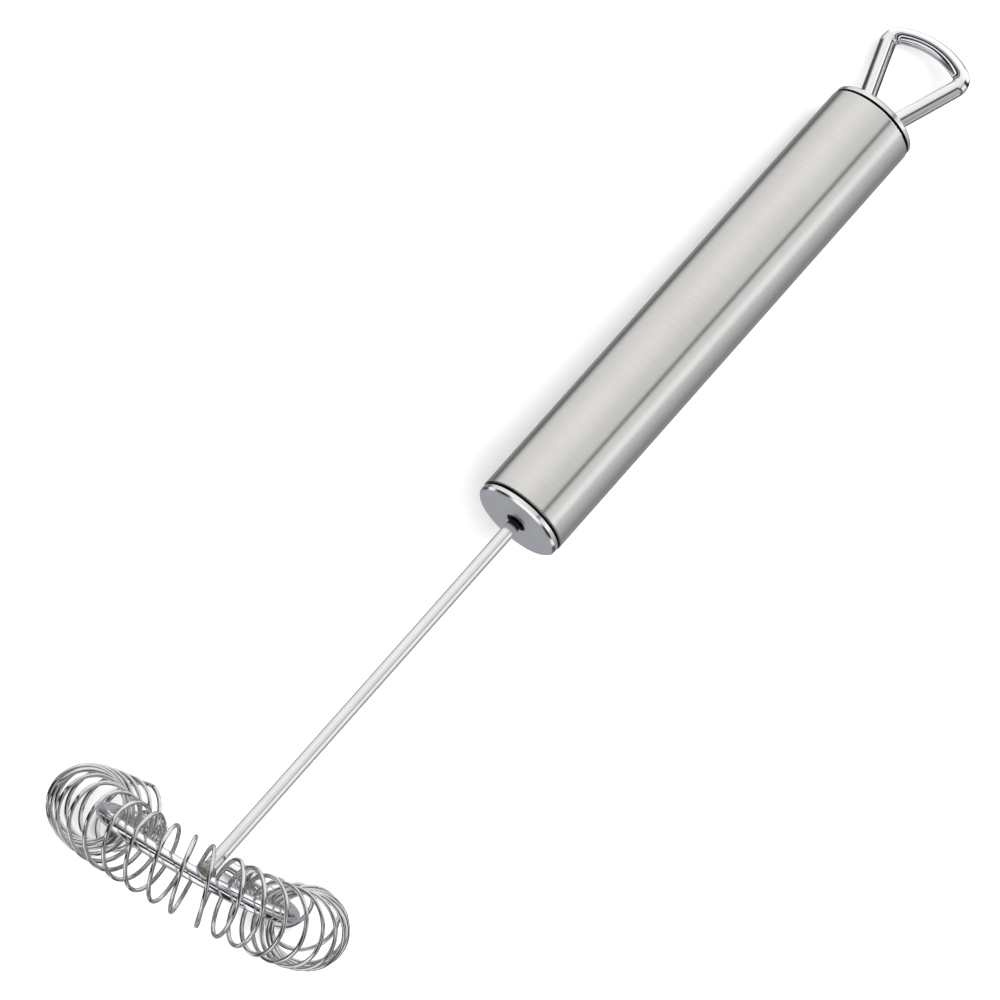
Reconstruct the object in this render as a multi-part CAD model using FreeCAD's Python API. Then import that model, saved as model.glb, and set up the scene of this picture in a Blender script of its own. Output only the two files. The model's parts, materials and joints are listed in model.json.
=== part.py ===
import FreeCAD, Part
import math
import os

# Spiral whisk: a steel tube handle with a hanging loop, a thin shaft, and a C-shaped
# rod (the bow) that carries one open coil of spring wire wound round it.
#
# Everything is drawn in the whisk's own frame, in millimetres:
#   origin  middle of the bow's rod, where the shaft is welded on
#   +Z      along the shaft and handle, towards the hanging loop
#   +Y      towards the open side of the C
# and laid down on a table at the end, so that +X then runs along the handle.

V = FreeCAD.Vector

# Handle
tube_radius = 11.0
tube_wall = 0.8
tube_length = 127.6
tube_edge_round = 0.45
tube_start = 110.75                     # height of the tube's lower end above the bow

# End caps
cap_seam = 0.45                         # groove between the tube's rim and the cap's rim
cap_proud = 1.95                        # how far the cap's face stands out of the tube
cap_bevel = 0.5
cap_inset = 0.2                         # the cap's rim is this much inside the tube's wall
spigot_depth = 3.0

# Shaft
shaft_radius = 1.6
shaft_in_handle = 9.0
countersink = 0.8                       # of the hole that the shaft comes out of

# Bow: the C, its plane tipped and canted against the handle
rod_radius = 1.75
bow_radius = 23.8
bow_half_angle = 158.0                  # from the weld to either rounded end, in degrees
bow_tip = math.radians(19.0)
bow_cant = math.radians(14.3)

# Coil of spring wire round the bow
wire_radius = 0.5
coil_radius = 8.44                      # coil axis to the wire's centre
coil_ring_radius = 28.32                # circle that the coil's axis follows
coil_shift_along = 0.47                 # the coil sits off the bow's centre by these
coil_shift_opening = 0.61
coil_shift_across = -0.69
coil_lean = -0.07                       # lean of each turn along the coil, as a slope
coil_pitch = 10.29                      # degrees round the bow for each turn
coil_from = -144.5
coil_to = 102.0
shaft_angle = 3.0                       # where the shaft passes between two turns
shaft_phase = 118.9                     # wire's angle there, half a turn from the shaft
spread_amount = 2.74                    # turns beside the shaft are spread by this
spread_width = 5.5
points_per_turn = 12

# Tapered ends of the coil and the close turns that grip the bow
grip_play = 0.03                        # between the bow and the turns that grip it
grip_radius = rod_radius + wire_radius + grip_play
grip_turns = 3.5
grip_pitch = 2.5
right_taper_turns = 3.0
right_grip_from = 143.0
left_taper_turns = 1.0
left_grip_from = -148.5

# Hanging loop, bent from a thicker rod and measured from the upper cap's face
loop_rod_radius = 2.0
loop_turn = -24.0                       # degrees about the handle, against the bow
loop_leg_start = 3.55
loop_leg_angle = math.radians(19.5)
loop_apex = 23.6
loop_top_radius = 18.6
loop_corner_radius = 3.1
loop_leg_inside = 2.15
loop_depth = 12.0
slot_play = 0.15                        # room at either end of the slot for the legs

# Welds
weld_height = 2.4
weld_reach = 1.5
shaft_weld_play = 0.4                   # the bead's neck stands this far off the shaft
loop_weld_play = 0.8
bow_weld_radius = 2.35

# How the whisk lies: turned about its handle, then the head propped up by the coil
lie_roll = 13.79
lie_tilt = 8.86

tube_end = tube_start + tube_length
bore_radius = tube_radius - tube_wall
upper_face = tube_end + cap_proud
handle_axis = V(0, 0, 1)


# ---------------------------------------------------------------- directions
def bow_axes():
    """Directions of the bow: along it at the weld, towards its open side, and across it."""
    opening = V(0, math.cos(bow_tip), math.sin(bow_tip))
    square = V(1, 0, 0).cross(opening)
    along = V(1, 0, 0) * math.cos(bow_cant) + square * math.sin(bow_cant)
    across = square * math.cos(bow_cant) - V(1, 0, 0) * math.sin(bow_cant)
    return along, opening, across


bow_along, bow_opening, bow_across = bow_axes()
bow_centre = bow_opening * bow_radius
coil_shift = (bow_along * coil_shift_along + bow_opening * coil_shift_opening
              + bow_across * coil_shift_across)


def outward(angle):
    """Direction away from the bow's centre, at an angle in degrees from the weld."""
    turn = math.radians(angle)
    return bow_along * math.sin(turn) - bow_opening * math.cos(turn)


def onward(angle):
    """Direction along the bow, at an angle in degrees from the weld."""
    turn = math.radians(angle)
    return bow_along * math.cos(turn) + bow_opening * math.sin(turn)


# ---------------------------------------------------------------- coil wire
def coil_phase(angle):
    """Turn of the wire, in degrees, at an angle round the bow."""
    beside = (angle - shaft_angle) / spread_width
    spread = spread_amount * beside * math.exp(-beside * beside / 2.0)
    return shaft_phase + 360.0 * (angle - shaft_angle - spread) / coil_pitch


def wire_at(angle, phase, radius, share):
    """Point of the wire; share is 1 on the open coil and 0 on the close turns."""
    ring = bow_radius + (coil_ring_radius - bow_radius) * share
    axis_point = bow_centre + coil_shift * share + outward(angle) * ring
    turn = math.radians(phase)
    leaning = bow_across + onward(angle) * (coil_lean * share)
    return axis_point + (leaning * math.cos(turn) + outward(angle) * math.sin(turn)) * radius


def open_coil_points():
    span = coil_phase(coil_to) - coil_phase(coil_from)
    count = int(round(points_per_turn * span / 360.0))
    step = (coil_to - coil_from) / count
    angles = [coil_from + step * i for i in range(count + 1)]
    return [wire_at(a, coil_phase(a), coil_radius, 1.0) for a in angles]


def taper_points(start, end, turns, side):
    """Wire from the open coil at start down to the close turns at end."""
    count = int(points_per_turn * turns)
    points = []
    for i in range(count + 1):
        part = i / count
        share = 1.0 - part
        angle = start + (end - start) * part
        phase = coil_phase(start) + side * 360.0 * turns * part
        radius = grip_radius + (coil_radius - grip_radius) * share
        points.append(wire_at(angle, phase, radius, share))
    return points


def grip_points(start, phase, side):
    """Close turns wound on the bow's rod."""
    count = int(points_per_turn * grip_turns)
    points = []
    for i in range(count + 1):
        turns = i / points_per_turn
        angle = start + side * grip_pitch * turns
        points.append(wire_at(angle, phase + side * 360.0 * turns, grip_radius, 0.0))
    return points


def coil_stretches():
    """Points of the wire, stretch by stretch from its left end to its right end."""
    left_phase = coil_phase(coil_from) - 360.0 * left_taper_turns
    right_phase = coil_phase(coil_to) + 360.0 * right_taper_turns
    return {
        "coil_grip_left": grip_points(left_grip_from, left_phase, -1)[::-1],
        "coil_taper_left": taper_points(coil_from, left_grip_from, left_taper_turns, -1)[::-1],
        "whisk_coil": open_coil_points(),
        "coil_taper_right": taper_points(coil_to, right_grip_from, right_taper_turns, 1),
        "coil_grip_right": grip_points(right_grip_from, right_phase, 1),
    }


def swept(curve):
    """Round wire along a curve."""
    path = Part.Wire([curve.toShape()])
    start = curve.value(curve.FirstParameter)
    ahead = curve.tangent(curve.FirstParameter)[0]
    rim = Part.Wire([Part.makeCircle(wire_radius, start, ahead)])
    shell = Part.BRepOffsetAPI.MakePipeShell(path)
    shell.setFrenetMode(True)
    shell.add(rim)
    shell.build()
    shell.makeSolid()
    return shell.shape()


def wire_solids():
    """The wire as one smooth curve, cut square where its stretches meet."""
    stretches = coil_stretches()
    points = []
    ends = [0]
    for stretch in stretches.values():
        points += stretch[1:] if points else stretch
        ends.append(len(points) - 1)
    lengths = [0.0]
    for before, after in zip(points, points[1:]):
        lengths.append(lengths[-1] + before.distanceToPoint(after))
    curve = Part.BSplineCurve()
    curve.interpolate(Points=points, Parameters=lengths)
    solids = {}
    for name, first, last in zip(stretches, ends, ends[1:]):
        stretch = curve.copy()
        stretch.segment(lengths[first], lengths[last])
        solids[name] = swept(stretch)
    return solids


# ---------------------------------------------------------------- sub-parts
def cylinder(radius, height, base):
    return Part.makeCylinder(radius, height, V(0, 0, base))


def turned(profile):
    """Solid of revolution about the handle's axis from (radius, height) corners."""
    corners = [V(r, 0, z) for r, z in profile]
    outline = Part.makePolygon(corners + [corners[0]])
    return Part.Face(outline).revolve(V(0, 0, 0), handle_axis, 360)


def handle_tube():
    outer = cylinder(tube_radius, tube_length, tube_start)
    rims = [e for e in outer.Edges if isinstance(e.Curve, Part.Circle)]
    outer = outer.makeFillet(tube_edge_round, rims)
    return outer.cut(cylinder(bore_radius, tube_length, tube_start))


def cap_blank(face, into):
    """Cap without its holes; face is its outer face and into the way into the tube."""
    rim = face + into * (cap_proud - cap_seam)
    rim_radius = tube_radius - cap_inset
    profile = [
        (0.0, face),
        (rim_radius - cap_bevel, face),
        (rim_radius, face + into * cap_bevel),
        (rim_radius, rim),
        (bore_radius, rim),
        (bore_radius, face + into * (cap_proud + spigot_depth)),
        (0.0, face + into * (cap_proud + spigot_depth)),
    ]
    return turned(profile)


def shaft_rod():
    return cylinder(shaft_radius, tube_start + shaft_in_handle, 0.0)


def bow_rod():
    start = bow_centre + outward(-bow_half_angle) * bow_radius
    heading = outward(-bow_half_angle).cross(bow_across)
    rim = Part.Face(Part.Wire([Part.makeCircle(rod_radius, start, heading)]))
    rod = rim.revolve(bow_centre, bow_across, 2.0 * bow_half_angle)
    for side in (-1, 1):
        tip = bow_centre + outward(side * bow_half_angle) * bow_radius
        rod = rod.fuse(Part.makeSphere(rod_radius, tip))
    return rod.removeSplitter()


def shaft():
    return shaft_rod().cut(bow_rod()).Solids[-1]


def lower_end_cap():
    face = tube_start - cap_proud
    mouth = shaft_radius + countersink
    sink = turned([(0.0, face), (mouth, face), (shaft_radius, face + countersink),
                   (0.0, face + countersink)])
    return cap_blank(face, 1).cut(sink).cut(shaft_rod())


def bead(inner, base, way, hollow):
    """Weld bead round the axis, sloping from its foot at base up to the rod."""
    foot = inner + weld_reach
    corners = [(0.0, base), (foot, base), (inner, base + way * weld_height),
               (0.0, base + way * weld_height)]
    return turned(corners).cut(hollow)


def shaft_weld():
    inside = tube_start + spigot_depth
    return bead(shaft_radius + shaft_weld_play, inside, 1, shaft_rod())


def bow_weld():
    """Fillet of weld metal where the shaft stands on the bow."""
    blob = Part.makeSphere(bow_weld_radius, V(0, 0, rod_radius))
    return blob.cut(shaft_rod()).cut(bow_rod())


def loop_corner():
    """Centre of the loop's right-hand corner arc, in (x, height above the handle)."""
    lean = math.tan(loop_leg_angle)
    offset = loop_leg_start - loop_corner_radius / math.cos(loop_leg_angle)
    middle = loop_apex - loop_top_radius
    reach = loop_top_radius - loop_corner_radius
    square = lean * lean + 1.0
    linear = lean * offset - middle
    rest = offset * offset + middle * middle - reach * reach
    height = (-linear + math.sqrt(linear * linear - square * rest)) / square
    return offset + lean * height, height


def loop_path():
    """Centreline of the hanging loop: legs, corners and the arched top."""
    corner_x, corner_z = loop_corner()
    middle = loop_apex - loop_top_radius
    reach = loop_top_radius - loop_corner_radius
    side_x = math.cos(loop_leg_angle)
    side_z = -math.sin(loop_leg_angle)
    top_x = corner_x / reach
    top_z = (corner_z - middle) / reach
    half = math.hypot(side_x + top_x, side_z + top_z)
    leg_end = (corner_x + side_x * loop_corner_radius, corner_z + side_z * loop_corner_radius)
    bend = (corner_x + (side_x + top_x) / half * loop_corner_radius,
            corner_z + (side_z + top_z) / half * loop_corner_radius)
    arch = (corner_x + top_x * loop_corner_radius, corner_z + top_z * loop_corner_radius)

    bend_radius = (loop_leg_start - loop_leg_inside) / (1.0 - math.cos(loop_leg_angle))
    knee = -bend_radius * math.sin(loop_leg_angle)
    knee_x = loop_leg_inside + bend_radius * (1.0 - math.cos(loop_leg_angle / 2.0))
    knee_z = knee + bend_radius * math.sin(loop_leg_angle / 2.0)

    turned_by = FreeCAD.Rotation(handle_axis, loop_turn)

    def at(point, side):
        return turned_by.multVec(V(side * point[0], 0, upper_face + point[1]))

    foot = (loop_leg_inside, -loop_depth)
    straight = (loop_leg_inside, knee)
    half_knee = (knee_x, knee_z)
    rise = (loop_leg_start, 0.0)
    edges = []
    for side in (1, -1):
        edges.append(Part.makeLine(at(foot, side), at(straight, side)))
        edges.append(Part.Arc(at(straight, side), at(half_knee, side), at(rise, side)).toShape())
        edges.append(Part.makeLine(at(rise, side), at(leg_end, side)))
        edges.append(Part.Arc(at(leg_end, side), at(bend, side), at(arch, side)).toShape())
    crown = (0.0, loop_apex)
    edges.append(Part.Arc(at(arch, 1), at(crown, 1), at(arch, -1)).toShape())
    return Part.Wire(Part.__sortEdges__(edges))


def hanging_loop():
    path = loop_path()
    start = path.OrderedVertexes[0].Point
    rim = Part.Wire([Part.makeCircle(loop_rod_radius, start, handle_axis)])
    return path.makePipeShell([rim], True, True)


def loop_slot():
    """Slot that both legs of the loop pass through."""
    half = loop_leg_start + slot_play
    depth = 2.0 * loop_depth
    base = upper_face - loop_depth
    corner = V(-half, -loop_rod_radius, base)
    slot = Part.makeBox(2.0 * half, 2.0 * loop_rod_radius, depth, corner)
    for side in (-1, 1):
        slot = slot.fuse(Part.makeCylinder(loop_rod_radius, depth, V(side * half, 0, base)))
    slot.rotate(V(0, 0, 0), handle_axis, loop_turn)
    return slot


def upper_end_cap():
    return cap_blank(upper_face, -1).cut(loop_slot())


def loop_weld():
    inside = tube_end - spigot_depth
    neck = loop_leg_inside + loop_rod_radius + loop_weld_play
    return bead(neck, inside, -1, hanging_loop())


def laid_down():
    """Placement that lays the whisk on a table, handle along +X and head propped up."""
    about_handle = FreeCAD.Rotation(handle_axis, lie_roll)
    flat = FreeCAD.Rotation(V(0, -1, 0), V(0, 0, -1), V(1, 0, 0), "XYZ")
    propped = FreeCAD.Rotation(V(0, 1, 0), lie_tilt)
    return FreeCAD.Placement(V(0, 0, 0), propped * flat * about_handle)


def main():
    parts = {
        "handle_tube": handle_tube(),
        "lower_end_cap": lower_end_cap(),
        "upper_end_cap": upper_end_cap(),
        "hanging_loop": hanging_loop(),
        "loop_weld": loop_weld(),
        "shaft": shaft(),
        "shaft_weld": shaft_weld(),
        "bow": bow_rod(),
        "bow_weld": bow_weld(),
    }
    parts.update(wire_solids())
    lie = laid_down()
    for name in parts:
        parts[name].Placement = lie.multiply(parts[name].Placement)
    whole = Part.makeCompound(list(parts.values())).optimalBoundingBox(False)
    to_origin = V(-whole.Center.x, -whole.Center.y, -whole.ZMin)
    os.makedirs("parts", exist_ok=True)
    for name, shape in parts.items():
        shape.translate(to_origin)
        shape.exportStep("parts/" + name + ".step")


main()
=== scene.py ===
import bpy
import json
import math
from mathutils import Matrix, Quaternion, Vector


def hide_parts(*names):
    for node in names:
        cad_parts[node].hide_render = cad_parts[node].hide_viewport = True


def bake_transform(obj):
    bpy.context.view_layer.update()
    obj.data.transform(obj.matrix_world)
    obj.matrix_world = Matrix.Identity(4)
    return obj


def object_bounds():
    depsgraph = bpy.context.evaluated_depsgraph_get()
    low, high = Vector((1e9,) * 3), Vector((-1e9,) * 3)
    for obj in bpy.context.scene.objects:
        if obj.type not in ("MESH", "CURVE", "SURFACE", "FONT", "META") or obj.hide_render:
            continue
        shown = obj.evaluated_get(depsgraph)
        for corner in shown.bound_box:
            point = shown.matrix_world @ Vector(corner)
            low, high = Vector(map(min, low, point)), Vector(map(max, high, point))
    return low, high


# Looks of the spiral whisk: a brushed steel handle, polished rods and caps, and a coil of
# bright spring wire. Lengths are in metres unless a name says otherwise, in the row frame.

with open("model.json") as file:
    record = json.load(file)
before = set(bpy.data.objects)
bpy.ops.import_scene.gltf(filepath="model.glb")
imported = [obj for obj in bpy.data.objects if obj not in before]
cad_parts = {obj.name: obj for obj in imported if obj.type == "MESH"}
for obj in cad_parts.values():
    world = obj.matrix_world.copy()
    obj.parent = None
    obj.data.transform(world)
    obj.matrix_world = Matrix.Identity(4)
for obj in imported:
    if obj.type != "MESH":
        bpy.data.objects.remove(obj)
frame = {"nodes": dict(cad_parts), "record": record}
cad_low, cad_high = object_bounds()

MM = 0.001

# Whisk's own frame: +Z along the handle, its origin at the weld on the bow
lie_roll = math.radians(13.79)
lie_tilt = math.radians(8.86)
tube_start = 110.75 * MM
tube_length = 127.6 * MM

# Bow and coil
rod_radius = 1.75 * MM
wire_radius = 0.5 * MM
bow_radius = 23.8 * MM
bow_tip = math.radians(19.0)
bow_cant = math.radians(14.3)
coil_radius = 8.44 * MM
coil_ring_radius = 28.32 * MM
coil_shift_along = 0.47 * MM
coil_shift_opening = 0.61 * MM
coil_shift_across = -0.69 * MM
coil_lean = -0.07
coil_pitch = 10.29
coil_from = -144.5
coil_to = 102.0
shaft_angle = 3.0
shaft_phase = 118.9
spread_amount = 2.74
spread_width = 5.5
grip_play = 0.03 * MM
grip_radius = rod_radius + wire_radius + grip_play
right_taper_turns = 3.0
right_grip_from = 143.0
left_taper_turns = 1.0
left_grip_from = -148.5

# Camera
camera_azimuth = -54.46
camera_elevation = 77.41
camera_roll = 4.308
camera_distance = 1.27186
camera_lens = 205.2
camera_sensor = 36.0                    # millimetres
camera_near = 0.05
camera_far = 20.0
aim_offset = Vector((-0.01562, 0.00116, 0.0))

# Stage
floor_reach = 3.0
floor_roughness = 0.9
key_offset = Vector((0.3, -0.9, 2.2))   # from the whisk's middle
key_width = 2.8
key_power = 130.0                       # watts


# ---------------------------------------------------------------- the whisk's frame
def whisk_matrix():
    """Matrix from the whisk's own frame to the row frame, placed by the handle's mount."""
    grip = next(m for m in frame["record"]["mounts"] if m["name"] == "handle_grip")
    about_handle = Matrix.Rotation(lie_roll, 3, "Z")
    flat = Matrix(((0, 0, 1), (-1, 0, 0), (0, -1, 0)))
    propped = Matrix.Rotation(lie_tilt, 3, "Y")
    turn = propped @ flat @ about_handle
    middle = turn @ Vector((0, 0, tube_start + tube_length / 2))
    return Matrix.Translation(Vector(grip["pos_m"]) - middle) @ turn.to_4x4()


WHISK = whisk_matrix()
TURN = WHISK.to_3x3()
HANDLE_AXIS = TURN @ Vector((0, 0, 1))


def bow_axes():
    """Directions of the bow: along it at the weld, towards its open side, and across it."""
    opening = Vector((0, math.cos(bow_tip), math.sin(bow_tip)))
    side = Vector((1, 0, 0))
    square = side.cross(opening)
    along = side * math.cos(bow_cant) + square * math.sin(bow_cant)
    across = square * math.cos(bow_cant) - side * math.sin(bow_cant)
    return along, opening, across


ALONG, OPENING, ACROSS = bow_axes()
COIL_SHIFT = (ALONG * coil_shift_along + OPENING * coil_shift_opening
              + ACROSS * coil_shift_across)


def outward(angle):
    """Direction away from the bow's centre, at an angle in degrees from the weld."""
    turn = math.radians(angle)
    return ALONG * math.sin(turn) - OPENING * math.cos(turn)


def onward(angle):
    """Direction along the bow, at an angle in degrees from the weld."""
    turn = math.radians(angle)
    return ALONG * math.cos(turn) + OPENING * math.sin(turn)


def coil_phase(angle):
    """Turn of the wire, in degrees, at an angle round the bow."""
    beside = (angle - shaft_angle) / spread_width
    spread = spread_amount * beside * math.exp(-beside * beside / 2.0)
    return shaft_phase + 360.0 * (angle - shaft_angle - spread) / coil_pitch


def wire_at(angle, phase, radius, share):
    """Point of the wire; share is 1 on the open coil and 0 on the close turns."""
    ring = bow_radius + (coil_ring_radius - bow_radius) * share
    axis_point = OPENING * bow_radius + COIL_SHIFT * share + outward(angle) * ring
    turn = math.radians(phase)
    leaning = ACROSS + onward(angle) * (coil_lean * share)
    return axis_point + (leaning * math.cos(turn) + outward(angle) * math.sin(turn)) * radius


def taper_points(start, end, turns, side, per_turn=48):
    """Wire from the open coil at start down to the close turns at end."""
    count = int(per_turn * turns)
    points = []
    for i in range(count + 1):
        part = i / count
        share = 1.0 - part
        angle = start + (end - start) * part
        phase = coil_phase(start) + side * 360.0 * turns * part
        radius = grip_radius + (coil_radius - grip_radius) * share
        points.append(WHISK @ wire_at(angle, phase, radius, share))
    return points


# ---------------------------------------------------------------- meshes
def wire_mesh(name, points, radius, around=20):
    """Round wire through points, closed by flat ends."""
    tangents = []
    for i in range(len(points)):
        before = points[max(i - 1, 0)]
        after = points[min(i + 1, len(points) - 1)]
        tangents.append((after - before).normalized())
    side = tangents[0].orthogonal().normalized()
    verts = []
    for point, ahead in zip(points, tangents):
        side = (side - ahead * side.dot(ahead)).normalized()
        up = ahead.cross(side)
        for j in range(around):
            turn = 2.0 * math.pi * j / around
            verts.append(point + (side * math.cos(turn) + up * math.sin(turn)) * radius)
    faces = [list(range(around))[::-1]]
    for i in range(len(points) - 1):
        for j in range(around):
            k = (j + 1) % around
            faces.append([i * around + j, i * around + k, (i + 1) * around + k,
                          (i + 1) * around + j])
    last = (len(points) - 1) * around
    faces.append([last + j for j in range(around)])
    mesh = bpy.data.meshes.new(name)
    mesh.from_pydata(verts, [], faces)
    mesh.shade_smooth()
    for face in (mesh.polygons[0], mesh.polygons[-1]):
        face.use_smooth = False
    piece = bpy.data.objects.new(name, mesh)
    bpy.context.scene.collection.objects.link(piece)
    return piece


# ---------------------------------------------------------------- materials
# Sizes here are in millimetres. Tones are stops of a ramp: how far along it, and the colour.
# A gloss is the lowest and highest roughness, and a scale says how fast noise changes a millimetre.
TO_MM = (1.0 / MM, 1.0 / MM, 1.0 / MM)
# Near-black painted shade, laid where parts meet: at the tube's ends, in the cap seams, round the
# shaft's hole and where rods leave the caps
PAINTED_SHADE = (0.035, 0.033, 0.03, 1.0)
mark_depth = 0.02 * MM
weld_depth = 0.12 * MM

seam_end = 64.25                        # from the handle's middle, where the painted shade in a seam ends
seam_fade = 0.15
shade_ring_radius = 2.4                       # radius of the painted shade round the lower cap's countersunk hole
shade_ring_fade = 0.3
root_end = 67.0                         # from the handle's middle, painted shade where rods leave the caps
root_fade = 0.8
# Painted shade darkens the tube near each end, where it meets a cap, over these spans
tube_shade_from = 0.35                  # back from the tube's end
tube_shade_full = 0.05

TUBE_TONES = [(0.3, (0.72, 0.715, 0.705)), (0.7, (0.83, 0.825, 0.815))]
TUBE_FINE_SCALE = (0.30, 0.30, 11.0)
TUBE_BROAD_SCALE = (0.12, 0.12, 2.4)
TUBE_CLOUD_SCALE = (0.08, 0.08, 0.05)
TUBE_GLOSS = (0.13, 0.22)
tube_marks = 0.10

CAP_TONES = [(0.3, (0.88, 0.89, 0.91)), (0.7, (0.94, 0.95, 0.96))]
CAP_GLOSS = (0.12, 0.22)
cap_ring_scale = 6.0
cap_cloud_scale = 0.35
cap_marks = 0.06
face_radius = 10.2                      # inside this the cap's face is duller than its rim
face_fade = 0.3
face_dullness = 0.28

ROD_TONES = [(0.3, (0.90, 0.91, 0.94)), (0.7, (0.95, 0.96, 0.985))]
ROD_MARK_SCALE = (2.2, 2.2, 0.22)
ROD_GLOSS = (0.05, 0.16)
rod_cloud_scale = 0.12
rod_marks = 0.05

WIRE_TONES = [(0.3, (0.62, 0.62, 0.62)), (0.7, (0.80, 0.80, 0.80))]
WIRE_GLOSS = (0.04, 0.12)
wire_mark_scale = 2.6
wire_cloud_scale = 0.16
wire_marks = 0.10

WELD_TONES = [(0.3, (0.30, 0.31, 0.34)), (0.5, (0.42, 0.40, 0.37)), (0.7, (0.52, 0.49, 0.43))]
WELD_GLOSS = (0.25, 0.50)
weld_ripple_scale = 2.4
weld_ripple_roughness = 0.6
weld_tint_scale = 0.9
weld_marks = 0.5

FLOOR_TONES = [(0.3, (0.86, 0.86, 0.86)), (0.7, (0.89, 0.89, 0.89))]
floor_cloud_scale = 3.0


class Graph:
    """Short way to write a node tree."""

    def __init__(self, tree):
        self.tree = tree
        tree.nodes.clear()

    def node(self, kind, inputs=None, **settings):
        made = self.tree.nodes.new(kind)
        for name, value in settings.items():
            setattr(made, name, value)
        for name, value in (inputs or {}).items():
            self.feed(made.inputs[name], value)
        return made

    def feed(self, socket, value):
        if isinstance(value, bpy.types.NodeSocket):
            self.tree.links.new(value, socket)
        else:
            socket.default_value = value

    def math(self, operation, a, b=0.0, c=0.0):
        made = self.node("ShaderNodeMath", {0: a, 1: b, 2: c}, operation=operation)
        return made.outputs[0]

    def dot(self, vector, direction):
        made = self.node("ShaderNodeVectorMath", {0: vector, 1: direction},
                         operation="DOT_PRODUCT")
        return made.outputs["Value"]

    def step(self, value, low, high):
        """0 below low, 1 above high, smooth between them; low may be the higher one."""
        made = self.node("ShaderNodeMapRange", {0: value, 1: low, 2: high, 3: 0.0, 4: 1.0},
                         interpolation_type="SMOOTHSTEP")
        return made.outputs[0]

    def between(self, value, limits):
        """Value from 0 to 1, taken to the range between two limits."""
        low, high = limits
        return self.math("MULTIPLY_ADD", value, high - low, low)

    def mix(self, factor, a, b):
        made = self.node("ShaderNodeMix", {0: factor, 6: a, 7: b}, data_type="RGBA")
        return made.outputs[2]

    def ramp(self, value, stops):
        made = self.node("ShaderNodeValToRGB", {0: value})
        points = made.color_ramp.elements
        while len(points) < len(stops):
            points.new(1.0)
        for point, (place, colour) in zip(points, stops):
            point.position = place
            point.color = (*colour, 1.0)
        return made.outputs[0]

    def noise(self, vector, scale, detail=3.0, roughness=0.5):
        made = self.node("ShaderNodeTexNoise", {"Vector": vector, "Scale": scale,
                                                "Detail": detail, "Roughness": roughness})
        return made.outputs[0]

    def stretched(self, vector, scale):
        made = self.node("ShaderNodeVectorMath", {0: vector, 1: scale}, operation="MULTIPLY")
        return made.outputs[0]


def whisk_place(graph):
    """Place of the shaded point in the whisk's own frame, in millimetres."""
    coordinates = graph.node("ShaderNodeTexCoord").outputs["Object"]
    mapped = graph.node("ShaderNodeMapping",
                        {"Vector": coordinates, "Location": WHISK.translation,
                         "Rotation": TURN.to_euler()}, vector_type="TEXTURE")
    return graph.stretched(mapped.outputs[0], TO_MM)


def steel(name, build):
    """Metal material; build(graph, shader) links its colour, roughness and bump."""
    material = bpy.data.materials.new(name)
    material.use_nodes = True
    graph = Graph(material.node_tree)
    shader = graph.node("ShaderNodeBsdfPrincipled", {"Metallic": 1.0})
    output = graph.node("ShaderNodeOutputMaterial")
    graph.tree.links.new(shader.outputs[0], output.inputs["Surface"])
    build(graph, shader)
    return material


def bump(graph, shader, height, strength, distance=mark_depth):
    made = graph.node("ShaderNodeBump", {"Height": height, "Strength": strength,
                                         "Distance": distance})
    graph.feed(shader.inputs["Normal"], made.outputs[0])


def from_middle(graph, place):
    """How far along the handle a point is from its middle, in millimetres."""
    height = graph.node("ShaderNodeSeparateXYZ", {0: place}).outputs[2]
    middle = (tube_start + tube_length / 2) / MM
    return graph.math("ABSOLUTE", graph.math("SUBTRACT", height, middle))


def brushed(graph, shader):
    """Stainless tube, brushed round its girth, with painted shade at its ends, by the seams."""
    place = whisk_place(graph)
    fine = graph.noise(graph.stretched(place, TUBE_FINE_SCALE), 1.0, 2.0)
    broad = graph.noise(graph.stretched(place, TUBE_BROAD_SCALE), 1.0, 3.0)
    cloud = graph.noise(graph.stretched(place, TUBE_CLOUD_SCALE), 1.0, 2.0)
    grain = graph.math("MULTIPLY_ADD", fine, 0.5, graph.math("MULTIPLY", broad, 0.5))
    tone = graph.math("MULTIPLY_ADD", cloud, 0.4, graph.math("MULTIPLY", grain, 0.6))
    colour = graph.ramp(tone, TUBE_TONES)
    tube_half = tube_length / 2 / MM
    # Painted shade: near-black at the tube's ends, where they meet the caps
    end_shade = graph.step(from_middle(graph, place), tube_half - tube_shade_from,
                       tube_half - tube_shade_full)
    colour = graph.mix(end_shade, colour, PAINTED_SHADE)
    graph.feed(shader.inputs["Base Color"], colour)
    graph.feed(shader.inputs["Roughness"], graph.between(grain, TUBE_GLOSS))
    bump(graph, shader, grain, tube_marks)


def turned_cap(graph, shader):
    """Cap with the faint rings of its turning, a bright rim, and painted shade in the seam and round the
    hole.
    """
    place = whisk_place(graph)
    flat = graph.stretched(place, (1.0, 1.0, 0.0))
    from_axis = graph.node("ShaderNodeVectorMath", {0: flat}, operation="LENGTH").outputs["Value"]
    rings = graph.node("ShaderNodeTexNoise", {"W": from_axis, "Scale": cap_ring_scale, "Detail": 3.0},
                       noise_dimensions="1D").outputs[0]
    cloud = graph.noise(place, cap_cloud_scale, 2.0)
    tone = graph.math("MULTIPLY_ADD", cloud, 0.6, graph.math("MULTIPLY", rings, 0.4))
    colour = graph.ramp(tone, CAP_TONES)
    # Painted shade: near-black in the seam by the tube, and in a ring round the shaft's hole
    seam = graph.step(from_middle(graph, place), seam_end + seam_fade, seam_end)
    hole = graph.step(from_axis, shade_ring_radius + shade_ring_fade, shade_ring_radius)
    colour = graph.mix(graph.math("MAXIMUM", seam, hole), colour, PAINTED_SHADE)
    graph.feed(shader.inputs["Base Color"], colour)
    face = graph.step(from_axis, face_radius + face_fade, face_radius)
    graph.feed(shader.inputs["Roughness"],
               graph.math("MULTIPLY_ADD", face, face_dullness, graph.between(rings, CAP_GLOSS)))
    bump(graph, shader, rings, cap_marks)


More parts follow.
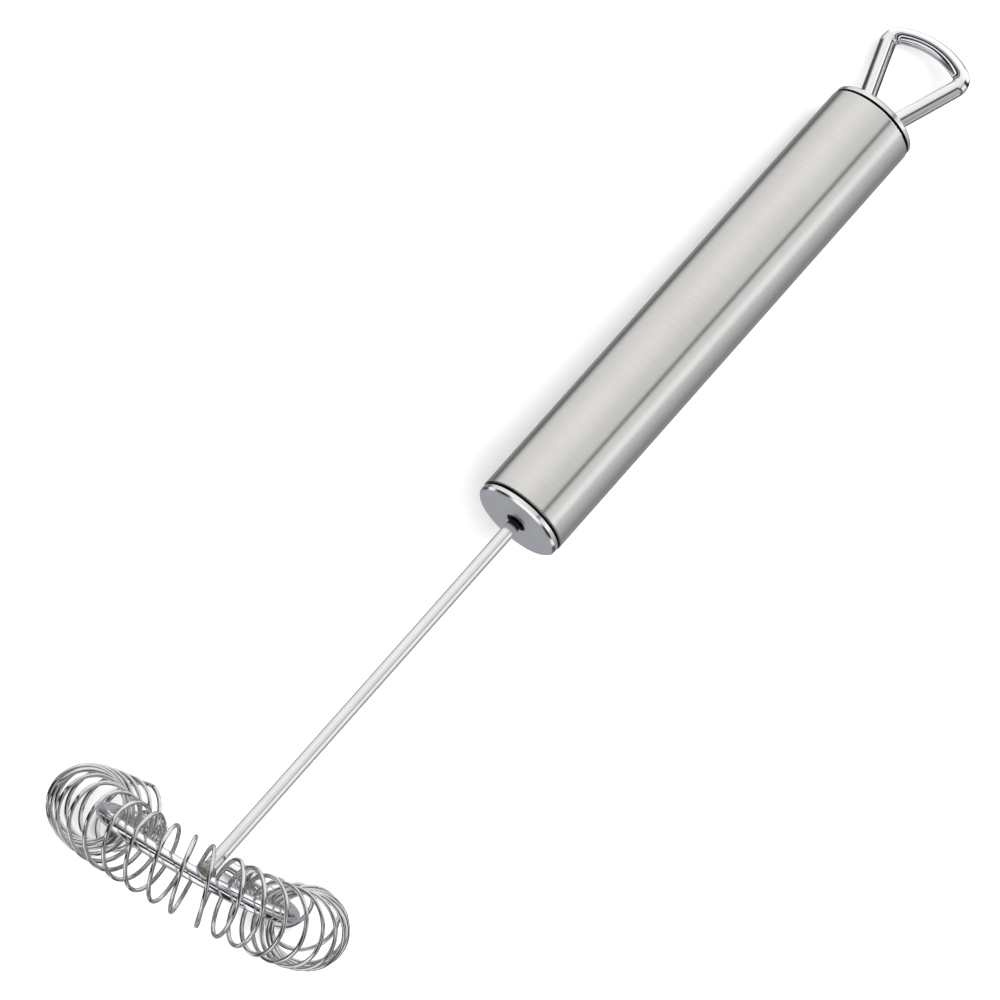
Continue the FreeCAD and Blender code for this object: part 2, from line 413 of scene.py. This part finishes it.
def polished(graph, shader):
    """Drawn bar, polished, with a few shallow marks, and painted shade where it leaves a cap."""
    place = whisk_place(graph)
    marks = graph.noise(graph.stretched(place, ROD_MARK_SCALE), 1.0, 4.0)
    cloud = graph.noise(place, rod_cloud_scale, 2.0)
    colour = graph.ramp(cloud, ROD_TONES)
    # Painted shade: near-black on the rod where it goes into a cap
    root = graph.step(from_middle(graph, place), root_end + root_fade, root_end)
    graph.feed(shader.inputs["Base Color"], graph.mix(root, colour, PAINTED_SHADE))
    graph.feed(shader.inputs["Roughness"], graph.between(marks, ROD_GLOSS))
    bump(graph, shader, marks, rod_marks)


def drawn_wire(graph, shader):
    """Spring wire straight from the die, a little darker in some places than in others."""
    place = whisk_place(graph)
    marks = graph.noise(place, wire_mark_scale, 4.0)
    cloud = graph.noise(place, wire_cloud_scale, 2.0)
    colour = graph.ramp(cloud, WIRE_TONES)
    graph.feed(shader.inputs["Base Color"], colour)
    graph.feed(shader.inputs["Roughness"], graph.between(marks, WIRE_GLOSS))
    bump(graph, shader, marks, wire_marks)


def weld_metal(graph, shader):
    """Weld bead: ripples, and a straw and blue-grey heat tint."""
    place = whisk_place(graph)
    ripple = graph.noise(place, weld_ripple_scale, 5.0, weld_ripple_roughness)
    tint = graph.noise(place, weld_tint_scale, 2.0)
    colour = graph.ramp(tint, WELD_TONES)
    graph.feed(shader.inputs["Base Color"], colour)
    graph.feed(shader.inputs["Roughness"], graph.between(ripple, WELD_GLOSS))
    bump(graph, shader, ripple, weld_marks, weld_depth)


def dress(piece, material):
    piece.data.materials.clear()
    piece.data.materials.append(material)


# ---------------------------------------------------------------- studio
# Edges of the cards: where each starts to show, and where it is whole. Turns run from 0 to 1
# round the handle, from behind it; ahead is how far a direction points along the handle.
CORNER_TURN = (0.54, 0.56)
CORNER_AHEAD = (0.76, 0.72)
LEFT_EDGE = (0.06, 0.10)
RIGHT_EDGE = (0.94, 0.90)
UPPER_CARD = (0.54, 0.58)
LOWER_CARDS = (0.24, 0.18)
CARD_WHITE = (1.05, 1.05, 1.05, 1.0)
CARD_BLACK = (0.03, 0.03, 0.032, 1.0)


def reflected_axes(back):
    """Directions square to the handle: towards the camera, and to its right in the view."""
    facing = (back - HANDLE_AXIS * back.dot(HANDLE_AXIS)).normalized()
    return facing, HANDLE_AXIS.cross(facing)


def studio_world(back):
    """Soft light tent round the handle: a wide panel on the left, a narrow gap, a strip on the right."""
    world = bpy.data.worlds.new("studio")
    bpy.context.scene.world = world
    world.use_nodes = True
    graph = Graph(world.node_tree)
    facing, right = reflected_axes(back)
    direction = graph.node("ShaderNodeTexCoord").outputs["Generated"]
    ahead = graph.dot(direction, HANDLE_AXIS)
    round_handle = graph.math("ARCTAN2", graph.dot(direction, right),
                              graph.dot(direction, facing))
    turn = graph.math("MULTIPLY_ADD", round_handle, 0.5 / math.pi, 0.5)
    panels = graph.ramp(turn, [(at / 360.0 + 0.5, colour) for at, colour in TENT])
    corner = graph.math("MULTIPLY", graph.step(turn, *CORNER_TURN),
                        graph.step(ahead, *CORNER_AHEAD))
    top_card = graph.mix(corner, CARD_WHITE, CARD_BLACK)
    below = graph.ramp(graph.math("MULTIPLY_ADD", ahead, 0.5, 0.5),
                       [(at / 2.0 + 0.5, colour) for at, colour in CARDS])
    around = graph.math("MULTIPLY", graph.step(turn, *LEFT_EDGE), graph.step(turn, *RIGHT_EDGE))
    above_it = graph.math("MULTIPLY", around, graph.step(ahead, *UPPER_CARD))
    below_it = graph.math("MULTIPLY", around, graph.step(ahead, *LOWER_CARDS))
    tent = graph.mix(below_it, graph.mix(above_it, panels, top_card), below)
    background = graph.node("ShaderNodeBackground", {"Color": tent, "Strength": 1.0})
    output = graph.node("ShaderNodeOutputWorld")
    graph.tree.links.new(background.outputs[0], output.inputs[0])


# Light tent round the handle: degrees from the camera's side, and the colour there
TENT = [
    (-180.0, (0.38, 0.39, 0.42)),
    (-150.0, (0.30, 0.30, 0.31)),
    (-135.0, (0.13, 0.13, 0.14)),
    (-126.0, (0.22, 0.22, 0.22)),
    (-118.0, (0.62, 0.61, 0.60)),
    (-106.0, (0.77, 0.76, 0.74)),
    (-47.0, (0.95, 0.94, 0.91)),
    (-23.0, (0.89, 0.88, 0.86)),
    (0.0, (0.76, 0.755, 0.74)),
    (26.0, (0.72, 0.715, 0.70)),
    (29.0, (0.16, 0.16, 0.16)),
    (34.0, (0.16, 0.16, 0.16)),
    (37.5, (0.75, 0.75, 0.75)),
    (53.0, (0.82, 0.82, 0.82)),
    (64.0, (1.06, 1.06, 1.06)),
    (72.0, (1.02, 1.02, 1.02)),
    (80.0, (0.68, 0.68, 0.68)),
    (105.0, (0.46, 0.46, 0.46)),
    (128.0, (0.28, 0.28, 0.285)),
    (150.0, (0.30, 0.30, 0.31)),
    (180.0, (0.38, 0.39, 0.42)),
]


# Cards below the tent, by how far they lie along the handle, from the shaft's end up
CARDS = [
    (-1.00, (1.10, 1.10, 1.10)),
    (-0.88, (1.10, 1.10, 1.10)),
    (-0.84, (0.03, 0.03, 0.032)),
    (-0.60, (0.03, 0.03, 0.032)),
    (-0.57, (0.95, 0.95, 0.95)),
    (-0.42, (1.05, 1.05, 1.05)),
    (-0.38, (0.03, 0.03, 0.032)),
    (-0.06, (0.02, 0.02, 0.022)),
    (-0.02, (0.50, 0.50, 0.50)),
    (0.06, (0.50, 0.50, 0.50)),
    (0.10, (0.05, 0.05, 0.052)),
    (1.00, (0.05, 0.05, 0.052)),
]


def floor():
    reach = floor_reach
    mesh = bpy.data.meshes.new("floor")
    corners = [(-reach, -reach, 0), (reach, -reach, 0), (reach, reach, 0), (-reach, reach, 0)]
    mesh.from_pydata(corners, [], [(0, 1, 2, 3)])
    piece = bpy.data.objects.new("floor", mesh)
    bpy.context.scene.collection.objects.link(piece)
    material = bpy.data.materials.new("pale_floor")
    material.use_nodes = True
    graph = Graph(material.node_tree)
    place = graph.node("ShaderNodeTexCoord").outputs["Object"]
    cloud = graph.noise(place, floor_cloud_scale, 2.0)
    colour = graph.ramp(cloud, FLOOR_TONES)
    shader = graph.node("ShaderNodeBsdfPrincipled",
                        {"Base Color": colour, "Roughness": floor_roughness})
    output = graph.node("ShaderNodeOutputMaterial")
    graph.tree.links.new(shader.outputs[0], output.inputs["Surface"])
    dress(piece, material)
    piece.visible_glossy = False
    return piece


def softbox(name, place, aim, width, power):
    light = bpy.data.lights.new(name, "AREA")
    light.shape = "DISK"
    light.size = width
    light.energy = power
    lamp = bpy.data.objects.new(name, light)
    bpy.context.scene.collection.objects.link(lamp)
    lamp.location = place
    lamp.rotation_mode = "QUATERNION"
    lamp.rotation_quaternion = (aim - place).to_track_quat("-Z", "Y")
    lamp.visible_glossy = False
    return lamp


def camera():
    azimuth = math.radians(camera_azimuth)
    elevation = math.radians(camera_elevation)
    back = Vector((math.sin(azimuth) * math.cos(elevation),
                   -math.cos(azimuth) * math.cos(elevation), math.sin(elevation)))
    lens = bpy.data.cameras.new("camera")
    lens.lens = camera_lens
    lens.sensor_width = camera_sensor
    lens.clip_start = camera_near
    lens.clip_end = camera_far
    eye = bpy.data.objects.new("camera", lens)
    bpy.context.scene.collection.objects.link(eye)
    aim = (cad_low + cad_high) / 2 + aim_offset
    eye.location = aim + back * camera_distance
    eye.rotation_mode = "QUATERNION"
    level = (-back).to_track_quat("-Z", "Y")
    eye.rotation_quaternion = level @ Quaternion((0, 0, 1), math.radians(camera_roll))
    bpy.context.scene.camera = eye
    return back


# ---------------------------------------------------------------- putting it together
MATERIALS = {
    "brushed_handle": steel("brushed_handle", brushed),
    "polished_cap": steel("polished_cap", turned_cap),
    "polished_rod": steel("polished_rod", polished),
    "spring_wire": steel("spring_wire", drawn_wire),
    "weld": steel("weld", weld_metal),
}


def dress_nodes():
    """Gives each CAD node the finish of its own material slot."""
    for piece in frame["nodes"].values():
        slot = piece.data.materials[0].name.split(".")[0]
        dress(piece, MATERIALS[slot])


def taper(name, node, points):
    piece = wire_mesh(name, points, wire_radius)
    dress(piece, MATERIALS["spring_wire"])
    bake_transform(piece)
    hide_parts(node)


def main():
    back = camera()
    dress_nodes()
    taper("taper_wire_right", "coil_taper_right",
          taper_points(coil_to, right_grip_from, right_taper_turns, 1))
    taper("taper_wire_left", "coil_taper_left",
          taper_points(coil_from, left_grip_from, left_taper_turns, -1))
    floor()
    studio_world(back)
    centre = (cad_low + cad_high) / 2
    softbox("key_softbox", centre + key_offset, centre, key_width, key_power)
    bpy.context.scene.view_settings.view_transform = "Standard"


main()
